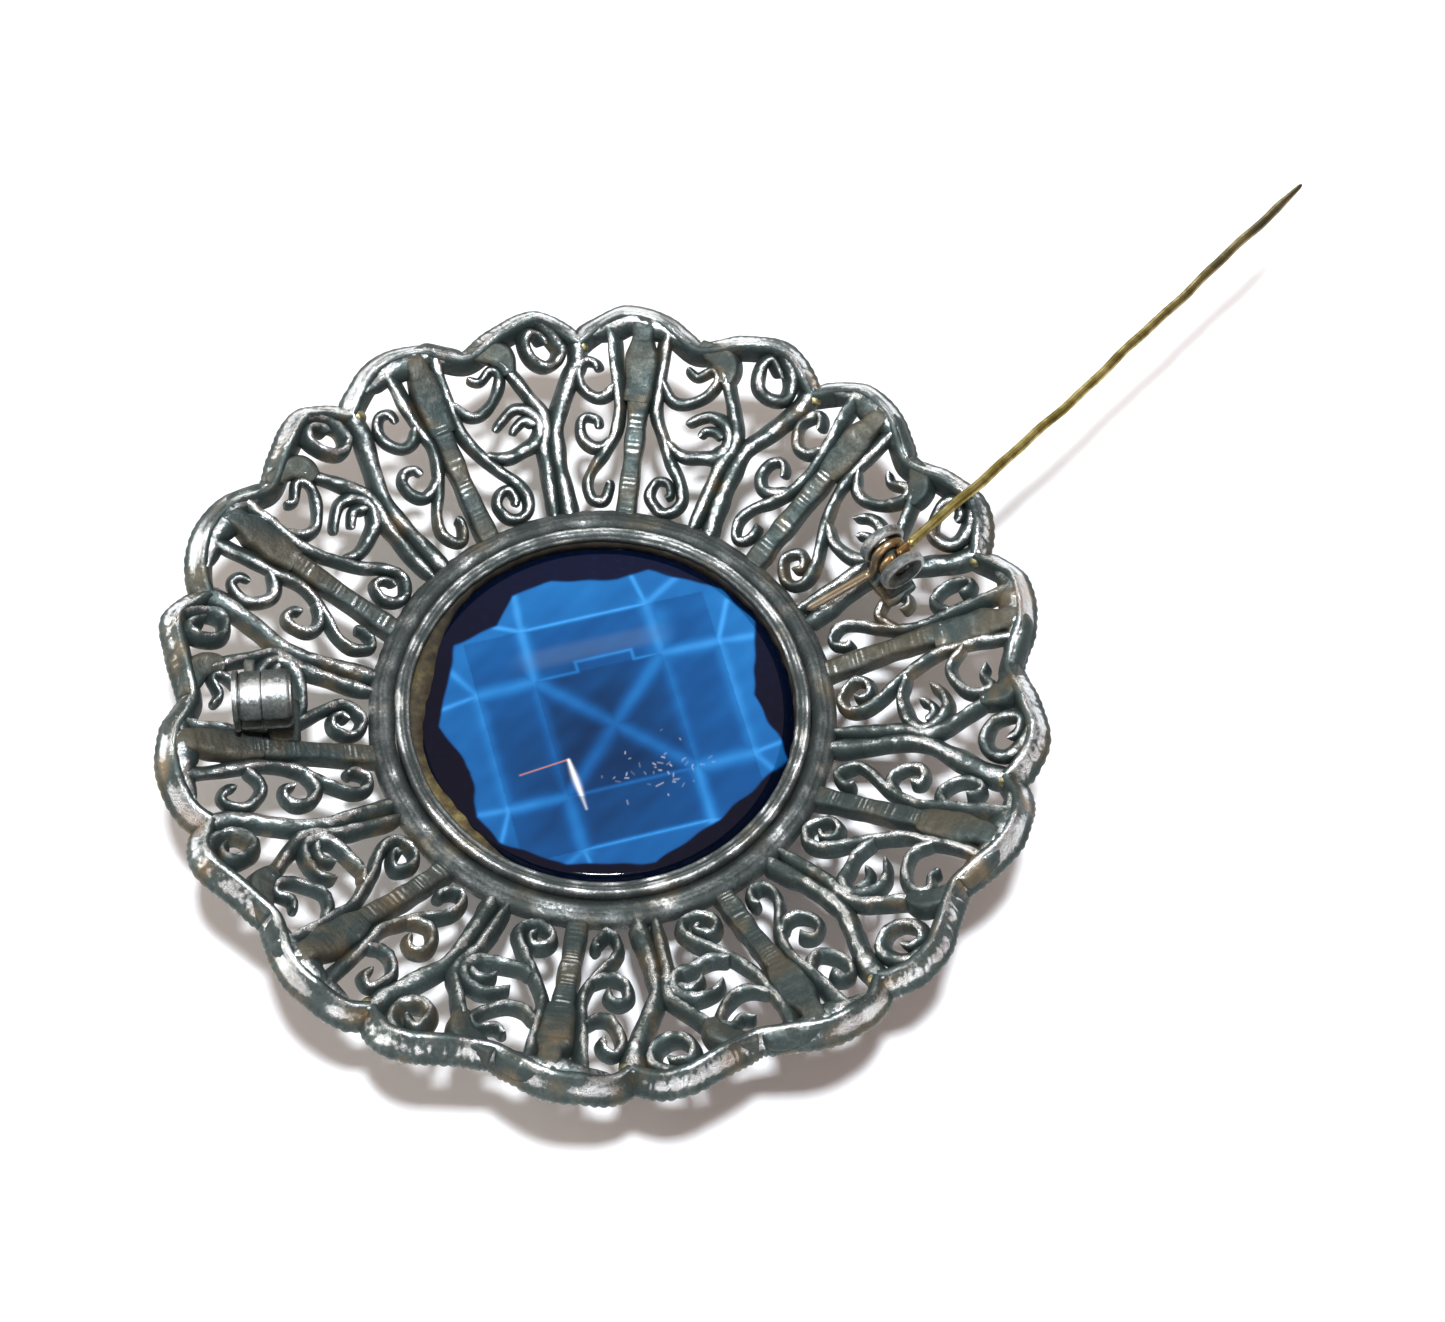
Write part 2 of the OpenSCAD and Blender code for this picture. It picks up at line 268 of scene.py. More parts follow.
def mixed(tree, fac, a, b):
    """Colour mix of a and b."""
    node = add(tree, "ShaderNodeMix", data_type="RGBA")
    for socket, value in ((node.inputs[0], fac), (node.inputs[6], a), (node.inputs[7], b)):
        if isinstance(value, bpy.types.NodeSocket):
            tree.links.new(value, socket)
        else:
            socket.default_value = value
    return node.outputs[2]


def maths(tree, operation, *values, clamp=False):
    """Maths node on up to three values."""
    node = add(tree, "ShaderNodeMath", operation=operation, use_clamp=clamp)
    for socket, value in zip(node.inputs, values):
        if isinstance(value, bpy.types.NodeSocket):
            tree.links.new(value, socket)
        else:
            socket.default_value = value
    return node.outputs[0]


def noise(tree, place, size_mm, detail=4.0, rough=0.55):
    """Noise on object coordinates with lumps of about the given size."""
    return add(tree, "ShaderNodeTexNoise", {
        "Vector": place, "Scale": 0.6 / (size_mm * MM), "Detail": detail, "Roughness": rough}).outputs["Fac"]


def cast_metal(name, dark, mid, light, warm, warm_amount, rough):
    """Cast metal blackened by oxidising and rubbed bright on its high edges.

    dark is the film in the hollows, light shows where the wear value is high, and warm lies in tarnished
    patches. The wear value is rubbing, except on the catch, where it is a painted highlight with painted shade.
    rough is the roughness of rubbed and of blackened metal. The cast skin has a grain of 0.16 mm."""
    mat, tree = material(name)
    place = add(tree, "ShaderNodeTexCoord").outputs["Object"]
    wear = add(tree, "ShaderNodeAttribute", attribute_name="wear").outputs["Fac"]
    tint = add(tree, "ShaderNodeAttribute", attribute_name="tint").outputs["Fac"]
    blotch = noise(tree, place, 1.1)
    fine = noise(tree, place, 0.16, 5.0, 0.7)
    # Rubbing is uneven: coarse and fine blotches push the wear up and down
    rubbed_and_lit = maths(tree, "ADD", wear, maths(tree, "MULTIPLY", maths(tree, "SUBTRACT", blotch, 0.5), 1.2))
    rubbed_and_lit = maths(tree, "ADD", rubbed_and_lit, maths(tree, "MULTIPLY", maths(tree, "SUBTRACT", fine, 0.5), 1.0))
    base = ramp(tree, rubbed_and_lit, [(0.05, colour(dark)), (0.5, colour(mid)), (0.85, colour(light))])
    patches = maths(tree, "SUBTRACT", noise(tree, place, 2.2, 3.0), 0.55)
    warm_fac = maths(tree, "MULTIPLY", patches, 6.0, clamp=True)
    warm_fac = maths(tree, "MULTIPLY", warm_fac, warm_amount)
    base = mixed(tree, maths(tree, "MAXIMUM", warm_fac, maths(tree, "MULTIPLY", tint, 0.7)), base,
                 mixed(tree, 0.6, base, colour(warm)))
    roughness = add(tree, "ShaderNodeMapRange", {"Value": rubbed_and_lit, "From Min": 0.0, "From Max": 1.0,
                    "To Min": rough[1], "To Max": rough[0]}).outputs["Result"]
    bare = add(tree, "ShaderNodeMapRange", {"Value": rubbed_and_lit, "From Min": 0.1, "From Max": 0.7,
               "To Min": 0.55, "To Max": 0.97}).outputs["Result"]
    bump = add(tree, "ShaderNodeBump", {"Height": fine, "Strength": 0.8,
               "Distance": 0.09 * MM}).outputs["Normal"]
    bump = add(tree, "ShaderNodeBump", {"Height": blotch, "Strength": 0.6, "Distance": 0.16 * MM,
               "Normal": bump}).outputs["Normal"]
    shader = add(tree, "ShaderNodeBsdfPrincipled", {"Base Color": base, "Metallic": bare,
                 "Roughness": roughness, "Normal": bump})
    add(tree, "ShaderNodeOutputMaterial", {"Surface": shader.outputs[0]})
    return mat


def drawn_wire(name, dark, mid, light, far):
    """Drawn wire, tarnished in long streaks that follow the along value, in mm.

    far is its colour where the tint value is 1."""
    mat, tree = material(name)
    place = add(tree, "ShaderNodeTexCoord").outputs["Object"]
    along = add(tree, "ShaderNodeAttribute", attribute_name="along").outputs["Fac"]
    tint = add(tree, "ShaderNodeAttribute", attribute_name="tint").outputs["Fac"]
    streak = noise(tree, place, 0.9, 5.0, 0.7)
    bands = add(tree, "ShaderNodeTexNoise", {"W": along, "Scale": 0.35, "Detail": 3.0},
                noise_dimensions="1D").outputs["Fac"]
    mixer = maths(tree, "ADD", maths(tree, "MULTIPLY", streak, 0.6), maths(tree, "MULTIPLY", bands, 0.5))
    base = ramp(tree, mixer, [(0.32, colour(dark)), (0.52, colour(mid)), (0.74, colour(light))])
    base = mixed(tree, tint, base, colour(far))
    fine = noise(tree, place, 0.12, 4.0, 0.6)
    bump = add(tree, "ShaderNodeBump", {"Height": fine, "Strength": 0.35,
               "Distance": 0.02 * MM}).outputs["Normal"]
    roughness = add(tree, "ShaderNodeMapRange", {"Value": streak, "From Min": 0.3, "From Max": 0.7,
                    "To Min": 0.32 + 0.15, "To Max": 0.32 - 0.05}).outputs["Result"]
    shader = add(tree, "ShaderNodeBsdfPrincipled", {"Base Color": base, "Metallic": 0.95,
                 "Roughness": roughness, "Normal": bump})
    add(tree, "ShaderNodeOutputMaterial", {"Surface": shader.outputs[0]})
    return mat


def blue_glass(name):
    """Polished dark blue glass. The wear value is painted light that comes up through the facets, the tint
    value a painted white highlight and scratches, and the along value a grey band, or a painted red glint where
    it is near 1."""
    mat, tree = material(name)
    place = add(tree, "ShaderNodeTexCoord").outputs["Object"]
    glow = add(tree, "ShaderNodeAttribute", attribute_name="wear").outputs["Fac"]
    highlight_and_scratches = add(tree, "ShaderNodeAttribute", attribute_name="tint").outputs["Fac"]
    band_and_glint = add(tree, "ShaderNodeAttribute", attribute_name="along").outputs["Fac"]
    cloud = noise(tree, place, 3.0, 3.0)
    shade = maths(tree, "MULTIPLY", glow, maths(tree, "ADD", 0.9, maths(tree, "MULTIPLY", cloud, 0.2)))
    base = ramp(tree, shade, [(0.0, colour("#02040A")), (0.12, colour("#06122C")), (0.24, colour("#0A3560")),
                              (0.36, colour("#0F4C86")), (0.50, colour("#1C68A8")), (0.72, colour("#3E96DC"))])
    # grey band, and a painted red glint where the value is near 1
    band_and_glint_colour = ramp(tree, band_and_glint, [(0.0, colour("#6A8098")), (0.4, colour("#6A8098")), (0.6, colour("#D9784E"))])
    base = mixed(tree, band_and_glint, base, band_and_glint_colour)
    base = mixed(tree, highlight_and_scratches, base, colour("#E9EEF4"))
    rough = add(tree, "ShaderNodeMapRange", {"Value": noise(tree, place, 0.25, 3.0, 0.7), "From Min": 0.45,
                "From Max": 0.75, "To Min": 0.03, "To Max": 0.12}).outputs["Result"]
    shader = add(tree, "ShaderNodeBsdfPrincipled", {"Base Color": base, "Roughness": rough, "IOR": 1.52})
    add(tree, "ShaderNodeOutputMaterial", {"Surface": shader.outputs[0]})
    return mat


def cement_stuff(name):
    """Old jeweller's cement: brown, cracked and matt."""
    mat, tree = material(name)
    place = add(tree, "ShaderNodeTexCoord").outputs["Object"]
    lumps = noise(tree, place, 0.7, 5.0, 0.65)
    wear = add(tree, "ShaderNodeAttribute", attribute_name="wear").outputs["Fac"]
    base = ramp(tree, lumps, [(0.3, colour("#1D1812")), (0.5, colour("#5A4C2A")), (0.72, colour("#8C8250"))])
    base = mixed(tree, wear, colour("#14120F"), base)
    bump = add(tree, "ShaderNodeBump", {"Height": lumps, "Strength": 0.8,
               "Distance": 0.15 * MM}).outputs["Normal"]
    shader = add(tree, "ShaderNodeBsdfPrincipled", {"Base Color": base, "Roughness": 0.75, "Normal": bump})
    add(tree, "ShaderNodeOutputMaterial", {"Surface": shader.outputs[0]})
    return mat


OXIDISED = cast_metal("oxidised_silver_cast", "#3A4645", "#5B6664", "#E9F0F2", "#B08646", 0.45, (0.2, 0.52))
WORN = cast_metal("rubbed_silver_cast", "#3F4645", "#6E7371", "#DCE0E0", "#A68B58", 0.4, (0.28, 0.6))
SOLDER = cast_metal("gold_solder", "#3C3C32", "#75714F", "#CFC492", "#9A8450", 0.4, (0.25, 0.5))
BRASS = drawn_wire("tarnished_brass_wire", "#474028", "#85783F", "#D3C68A", "#5A564C")
COPPER = drawn_wire("tarnished_copper_wire", "#4A3826", "#8A6C44", "#D8BC8E", "#B4AE9E")
GLASS = blue_glass("dark_blue_glass")
CEMENT = cement_stuff("old_cement")


# ---------------------------------------------------------------- petals
# Strokes of one petal. A point is (degrees clockwise from the bar, part of the way from the
# collar to the crest of the rim); then widths in mm along the stroke, depth, and kind.
STROKES = {
    "left_wire": ([(-3.4, 0.99), (-3.1, 0.86), (-2.9, 0.75), (-2.3, 0.61), (-1.9, 0.50), (-2.8, 0.39),
                   (-4.8, 0.295), (-7.4, 0.205), (-8.7, 0.125), (-8.0, 0.055), (-6.3, 0.03),
                   (-4.6, 0.05), (-3.7, 0.105), (-4.3, 0.14)], (0.85, 0.72, 0.62, 0.6), 1.15, "wire"),
    "left_top_hook": ([(-2.7, 0.64), (-4.5, 0.59), (-6.4, 0.60), (-7.9, 0.67), (-8.1, 0.745),
                       (-7.0, 0.80), (-5.7, 0.775), (-5.4, 0.72)], (0.75, 0.7, 0.62, 0.55), 1.05, "wire"),
    "left_low_hook": ([(-3.0, 0.37), (-5.2, 0.325), (-7.6, 0.32), (-9.2, 0.375), (-9.3, 0.45),
                       (-7.9, 0.49), (-6.4, 0.465), (-6.0, 0.42)], (0.75, 0.7, 0.62, 0.55), 1.05, "wire"),
    "right_wire": ([(5.3, 0.96), (5.0, 0.86), (4.7, 0.75), (4.6, 0.62), (5.0, 0.50), (6.6, 0.38),
                    (8.9, 0.275), (11.6, 0.185), (13.2, 0.105), (12.4, 0.04), (9.8, 0.01), (7.0, 0.035),
                    (5.7, 0.095), (6.9, 0.16), (9.2, 0.16), (10.4, 0.115), (9.4, 0.085)],
                   (0.85, 0.74, 0.7, 0.62, 0.5), 1.15, "wire"),
    "right_top_scroll": ([(5.0, 0.67), (7.0, 0.59), (9.5, 0.58), (12.2, 0.645), (13.5, 0.73),
                          (12.4, 0.775), (10.2, 0.735), (8.6, 0.77)], (0.7, 0.68, 0.65, 0.5), 1.05, "wire"),
    "right_low_scroll": ([(7.4, 0.365), (9.5, 0.33), (11.8, 0.32), (14.8, 0.335), (17.4, 0.36), (19.0, 0.43),
                          (17.6, 0.51), (14.6, 0.545), (12.0, 0.525), (10.2, 0.475)],
                         (0.65, 0.75, 0.95, 0.75, 0.5), 1.1, "wire"),
    "right_low_curl": ([(17.8, 0.45), (15.8, 0.475), (14.0, 0.455), (13.2, 0.42)],
                       (0.8, 0.6, 0.5), 0.95, "wire"),
    "leaf": ([(9.6, 0.90), (11.2, 0.875), (13.2, 0.84), (14.6, 0.785), (14.9, 0.72)],
             (0.7, 1.35, 1.6, 0.9), 1.2, "plate"),
    "leaf_wire": ([(14.0, 0.78), (15.8, 0.69), (18.0, 0.59), (19.8, 0.50), (19.9, 0.42), (19.0, 0.33),
                   (18.6, 0.19), (18.2, -0.05)], (0.8, 0.8, 0.95, 0.9, 0.8), 1.2, "wire"),
    "stem": ([(22.5, -0.05), (22.1, 0.08), (21.8, 0.2), (21.6, 0.32), (22.2, 0.45), (24.2, 0.58), (25.8, 0.70),
              (26.7, 0.80), (27.0, 0.93)], (1.15, 0.95, 1.0, 1.15, 1.35), 1.2, "wire"),
    "volute": ([(19.6, 0.985), (21.6, 0.975), (23.5, 0.93), (24.5, 0.86), (24.0, 0.785), (22.0, 0.745),
                (19.9, 0.775), (19.1, 0.85), (20.0, 0.915), (21.6, 0.905), (22.3, 0.865)],
               (0.95, 0.85, 0.8, 0.7, 0.55), 1.25, "wire"),
    "web": ([(-6.6, 0.945), (-3.2, 0.955), (0.3, 0.955), (3.5, 0.94), (6.8, 0.90), (9.0, 0.885)],
            (0.7, 1.5, 1.6, 1.4, 0.8), 1.2, "wire"),
    "bar_outer": ([(1.3, 0.54), (1.45, 0.66), (1.55, 0.78), (1.65, 0.86), (1.75, 0.98)],
                  (1.55, 1.95, 1.95, 1.35, 1.5), 1.15, "plate"),
    "bar_inner": ([(0.5, -0.05), (0.9, 0.25), (1.35, 0.58)], (1.35, 1.2, 1.35), 1.25, "ladder"),
}
# Cast wires are fuller than their drawn centre widths, and deeper than the flat panel of the CAD part
FULLNESS = 1.22
DEEPER = 1.3
RIM = [(-9.0, 0.905), (-8.2, 0.925), (-6.6, 0.965), (-3.8, 0.997), (0, 1.0), (3.2, 0.972), (6.5, 0.915),
       (9.4, 0.88), (12.5, 0.90), (16.5, 0.95), (20.0, 0.993), (22.8, 0.985), (25.2, 0.945), (26.6, 0.915),
       (27.2, 0.90)]
# Height above the collar from which the highest crests are eased off, to stay under the open pin, and how far
# past it they may still rise
CREST_EASE = 5.8
CREST_REST = 0.35
# Samples in each span of a stroke; the two bars carry finer marks
SPAN_STEPS = {"bar_outer": 14, "bar_inner": 52}
# Pitch in mm of the cross marks on a bar, and of the strands of the rope
LADDER_PITCH = 0.42
ROPE_PITCH = 0.62
# How far each petal's bar leans clockwise from its mean place, in degrees
LEAN = [-1.4, 0.4, 2.2, 0.6, 0.8, 0.2, 0.0, 0.4, 0.4, 0.9]


def lift(a, u):
    """Height of the dish above the collar: straight slope near the collar, waving with the scallops at the rim.

    The wave has one crest in each lobe, a shallow trough between them and a deep one at the notch."""
    f = 2 * math.pi * (a + 8.7) / STEP
    wave = -0.6 * np.cos(f) - 0.75 * np.cos(2 * f)
    rise = 1.085 * (5.5 * u + wave * u * np.abs(u))
    over = np.clip(rise - CREST_EASE, 0, None)
    return rise - over + CREST_REST * np.tanh(over / CREST_REST)


def on_dish(a, u, index):
    """Place of a pattern point on the back of the dish."""
    az = np.radians(FIRST_BAR - STEP * index - a)
    r = COLLAR_R + REACH * u
    return np.stack([r * np.cos(az), r * np.sin(az), COLLAR_Z + lift(a, u)], -1)


def dish_normal(a, u, index):
    """Normal of the dish, towards the back, by finite differences."""
    da = on_dish(a + 0.2, u, index) - on_dish(a - 0.2, u, index)
    du = on_dish(a, u + 0.01, index) - on_dish(a, u - 0.01, index)
    return unit(np.cross(du, da) * -1)


def petal_stroke(build, index, rng, key):
    """One wire, plate or ladder-textured bar of a petal."""
    points, widths, depth, kind = STROKES[key]
    p = np.array(points, float)
    lean = LEAN[index] * (1.0 if key in ("bar_outer", "left_wire", "left_top_hook", "web") else 0.5)
    if key in ("stem", "volute"):
        lean = 0
    p[:, 0] += lean * np.clip(p[:, 1], 0, 1) + rng.normal(0, 0.12, len(p))
    p[:, 1] += rng.normal(0, 0.004, len(p))
    path = catmull(p, SPAN_STEPS.get(key, 7))
    n = len(path)
    back = on_dish(path[:, 0], path[:, 1], index)
    up = dish_normal(path[:, 0], path[:, 1], index)
    w = np.interp(np.linspace(0, 1, n), np.linspace(0, 1, len(widths)), widths)
    w = w * FULLNESS * (1 + 0.09 * waves_at(back, 11 + index, 2.5))
    if kind == "wire":
        w = w * rounded_ends(n, 4)
    section = round_profile(20, 0.4, 0.15) if kind != "wire" else round_profile(16, 0.85, 0.75)
    d = depth * DEEPER * (rounded_ends(n, 3) ** 0.5 if kind == "wire" else np.ones(n))
    pts = sweep(back, up, w, d, section)
    ridge = np.zeros(n)
    middle = section[2] * bell(section[0], 0, 0.3)
    if kind == "ladder":
        s = lengths(back)
        # cross marks of uneven strength, down the middle of the bar only
        strength = 0.5 + 0.5 * np.sin(s * 2.7 + 3 * index)
        ridge = np.sin(2 * math.pi * s / LADDER_PITCH + 2.5 * np.sin(s * 1.9 + index)) * strength
        pts = pts + up[:, None] * (middle[None, :, None] * ridge[:, None, None] * 0.02)
    grain = waves_at(pts, 5, 0.9) + 0.8 * waves_at(pts, 6, 0.45)
    pts = pts + up[:, None] * ((0.06 if kind == "wire" else 0.03) * grain * (section[2][None] > 0))[..., None]
    if kind == "wire":
        top = section[2][None] ** 5 * 0.7 + 0 * ridge[:, None]
    elif kind == "ladder":
        top = middle[None] * (0.35 + 0.95 * ridge[:, None]) + 0.06
    else:
        top = 0.1 * section[2][None] + 0 * ridge[:, None]
    uneven = 0.16 * waves_at(pts, 77, 4.0) + 0.2 * waves_at(pts, 78, 1.1)
    wear = np.clip(top + uneven, 0, 1) * (section[2][None] > 0)
    tint = 0.0 if kind == "wire" else 0.28 * np.clip(0.3 + waves_at(pts, 79, 6.0), 0, 1)
    build.grid(pts, wear=wear, tint=tint, flip=True)


def petal_rim(build, index):
    """Scalloped border of a petal: thin back edge, band sloping outwards and down, roped front edge."""
    p = np.array(RIM, float)
    p[:, 0] += LEAN[index] * 0.5 * np.sin(np.pi * (p[:, 0] + 9) / 36.5)
    path = catmull(p, 22)
    n = len(path)
    crest = on_dish(path[:, 0], path[:, 1], index)
    s = lengths(crest)
    along = unit(np.gradient(crest, axis=0) * [1, 1, 0])
    out = np.stack([-along[:, 1], along[:, 0], np.zeros(n)], -1)
    # section: (out, up) of each point, from the inner foot over the crest to the roped edge and back
    section = np.array([(-0.56, -1.9), (-0.54, -1.2), (-0.5, -0.5), (-0.4, -0.08), (-0.2, 0.08), (0.0, 0.08),
                        (0.16, -0.02), (0.38, -0.24), (0.62, -0.48), (0.86, -0.72), (1.05, -0.92), (1.2, -1.04),
                        (1.34, -1.14), (1.43, -1.32), (1.42, -1.56), (1.30, -1.75), (1.1, -1.84), (0.9, -1.84),
                        (0.5, -1.9), (0.0, -1.9)])
    # the band draws in at the two notches and where the two lobes meet
    ends = np.clip(np.minimum(s, s[-1] - s) / 1.6, 0, 1)
    waist = 1 - 0.12 * bell(path[:, 0], 9.4, 1.6)
    reach = (0.6 + 0.4 * np.sin(ends * math.pi / 2)) * waist
    reach = reach * (1 + 0.05 * waves_at(crest, 21, 3.0))
    o = section[None, :, 0] * np.where(section[None, :, 0] > 0, reach[:, None], 1)
    h = section[None, :, 1] * (0.92 + 0.08 * ends[:, None])
    # each pattern lies round one place of the section; the strands of the rope lean over the edge
    place = np.arange(len(section))
    rope = bell(place, 13.6, 1.9)[None]
    twist = np.abs(np.sin(math.pi * s[:, None] / ROPE_PITCH + place[None] * 0.42)) - 0.55
    o = o + 0.12 * rope * twist
    h = h - 0.08 * rope * twist
    # band: fine bark on the long lobe, hammered on the short one
    band = bell(place, 8.4, 1.7)[None]
    pts = crest[:, None] + out[:, None] * o[..., None] + np.array([0, 0, 1.0]) * h[..., None]
    bark = np.sin(s[:, None] * 7.0 + 3.0 * waves_at(pts, 31, 1.1))
    long_lobe = np.clip((path[:, 0] - 9.5) / 2, 0, 1)[:, None]
    relief = band * (0.05 * bark * long_lobe + 0.04 * waves_at(pts, 41, 1.4))
    pts = pts + np.array([0, 0, 1.0]) * relief[..., None]
    edge = bell(place, 5.0, 1.2)[None]
    patchy = waves_at(pts, 51, 4.0)
    wear = np.clip(1.1 * edge * (0.75 + 0.4 * patchy) + band * (0.9 + 0.5 * patchy + 0.35 * bark * long_lobe)
                   + rope * (0.2 + 0.7 * twist), 0, 1)
    gold = np.clip(waves_at(pts, 61, 5.0) * 1.7 - 0.6, 0, 0.9) * (band + rope * 0.7)
    tips = bell(np.minimum(s, s[-1] - s), 0, 0.7)[:, None]
    gold = np.clip(gold + 0.6 * tips * (band + rope), 0, 1)
    build.grid(pts, wear=wear, tint=gold)


for index in range(PETALS):
    name = f"petal_{index + 1:02d}"
    rng = np.random.default_rng(100 + index)
    petal = Build()
    for key in STROKES:
        petal_stroke(petal, index, rng, key)
    petal_rim(petal, index)
    petal.object(f"{name}_filigree", OXIDISED, "brooch", [name])


# ---------------------------------------------------------------- turned pieces
TURNED_STEPS = 720


def revolved(build, profile, lumps, seed, wear):
    """Closed profile of (radius, height) points turned round the dish's axis, a little uneven."""
    p = np.asarray(profile, float)
    a = np.linspace(0, 2 * math.pi, TURNED_STEPS, endpoint=False)[:, None]
    r, z = p[None, :, 0], p[None, :, 1]
    x, y = r * np.cos(a), r * np.sin(a)
    bump = lumps * (waves(x, y, z + 0 * x, seed, 5.0) + 0.5 * waves(x, y, z + 0 * x, seed + 5, 0.9))
    r2 = r + bump
    pts = np.stack([r2 * np.cos(a), r2 * np.sin(a), z + bump], -1)
    pts = np.concatenate([pts, pts[:1]])
    wear = np.broadcast_to(np.asarray(wear, float)[None], pts.shape[:2])
    wear = np.clip(wear + 0.35 * waves_at(pts, seed + 1, 2.4) * (wear > 0), 0, 1)
    build.grid(pts, wear=wear, caps=False)


collar = Build()
revolved(collar, [(COLLAR_IN, 4.9), (RING_R + 0.1, 4.9), (RING_R + 0.35, 5.3), (RING_R + 0.28, 5.85),
                  (RING_R + 0.05, 6.12), (16.75, 6.27), (16.6, 6.27), (16.5, 6.38), (16.32, 6.46), (16.2, 6.42),
                  (16.1, 6.5), (15.9, 6.48), (15.7, 6.36), (COLLAR_IN, 6.1)],
         0.06, 3, [0, 0, 0.05, 0.08, 0.12, 0.16, 0.12, 0.2, 0.26, 0.14, 0.26, 0.2, 0.08, 0])
collar.object("collar_ring", WORN, "brooch", ["collar"])

cup = Build()
revolved(cup, [(14.9, 2.95), (14.1, 2.6), (14.1, 2.3), (14.6, 2.28), (15.15, 2.5), (15.3, 2.9), (15.3, 4.6),
               (15.3, 6.3), (15.28, 6.6), (15.15, 6.86), (14.98, 6.96), (14.84, 6.86), (14.7, 6.9),
               (14.56, 6.72),
               (14.48, 6.7), (14.4, 6.82), (14.25, 6.82), (14.17, 6.7), (14.17, 6.4), (14.9, 6.05)],
         0.035, 9, [0, 0.3, 0.5, 0.5, 0.5, 0.3, 0.1, 0.05, 0.2, 0.6, 0.75, 0.2, 0.5, 0.0, 0.0, 0.45, 0.3, 0.1,
                         0, 0])
cup.object("bezel_cup_shell", WORN, "brooch", ["bezel_cup"])


# ---------------------------------------------------------------- stone
# The cut seen through the flat back: a square table with its diagonals, and a larger square round it
CUT = np.array([1.0, -1.1])
CUT_TURN = 65.5
CUT_CORNER = 6.9
CUT_OUTER = 10.4
CUT_SPREAD = 17.5
MAIN_FACETS = 8
# Outline inside which light from below comes up through the facets
LIT = [(-11.5, 4.2), (-8.6, 6.2), (-7.8, 8.9), (-5.0, 10.4), (0.0, 11.2), (2.2, 12.2), (7.8, 11.2),
       (10.5, 8.8), (11.0, 2.4), (14.0, -2.4), (9.2, -8.0), (5.0, -11.9), (-1.4, -12.8), (-6.4, -11.4),
       (-8.2, -9.6), (-9.0, -6.0), (-11.8, -2.6)]


def cut_point(radius, degrees):
    """Point of the cut, by distance and direction from its centre."""
    a = math.radians(degrees)
    return CUT + radius * np.array([math.cos(a), math.sin(a)])


def cut_lines():
    """Facet edges, painted into the stone's back as lines of light, as (from, to, width in mm, strength).

    The four sides of the cut follow one rule, but two opposite sides show as sharp edges and two as broad faint
    ones."""
    lines = []
    for k in range(4):
        a = CUT_TURN + 90 * k
        corner, after, before = cut_point(CUT_CORNER, a), cut_point(CUT_OUTER, a + CUT_SPREAD), cut_point(
            CUT_OUTER, a - CUT_SPREAD)
        over, next_corner = cut_point(CUT_OUTER, a + 90 - CUT_SPREAD), cut_point(CUT_CORNER, a + 90)
        sharp = k % 2 == 0
        lines += [(CUT, corner, 0.62, 0.8), (corner, before, 0.5, 0.9), (corner, after, 0.6, 0.8)]
        lines.append((after, over, 0.16, 0.95) if sharp else (after, over, 0.5, 0.45))
        for node, side in ((before, -1), (after, 1)):
            away = a + side * CUT_SPREAD
            lines += [(node, cut_point(13.4, away + 9), 0.2, 0.8), (node, cut_point(13.6, away - 8), 0.3, 0.6)]
        if k == 0:
            # this side is seen double, so it steps over and back
            step = unit(cut_point(1, a + 45) - CUT) * 0.85
            m1, m2 = corner + 0.22 * (next_corner - corner), corner + 0.66 * (next_corner - corner)
            steps = [corner, m1, m1 + step, m2 + step, m2, next_corner]
            lines += [(p, q, 0.14, 0.8) for p, q in zip(steps, steps[1:])]
        else:
            lines.append((corner, next_corner, 0.16, 0.6) if sharp else (corner, next_corner, 0.48, 0.4))
    return lines


def segment_distance(x, y, a, b):
    """Distance of points from the segment a to b."""
    a, b = np.array(a), np.array(b)
    t = np.clip(((x - a[0]) * (b - a)[0] + (y - a[1]) * (b - a)[1]) / ((b - a) @ (b - a)), 0, 1)
    return np.hypot(x - a[0] - t * (b - a)[0], y - a[1] - t * (b - a)[1])


def inside(x, y, outline):
    """Even-odd test against a closed outline."""
    result = np.zeros(x.shape, bool)
    for (x0, y0), (x1, y1) in zip(outline, outline[1:] + outline[:1]):
        crosses = (y0 > y) != (y1 > y)
        result ^= crosses & (x < (x1 - x0) * (y - y0) / (y1 - y0 + 1e-9) + x0)
    return result


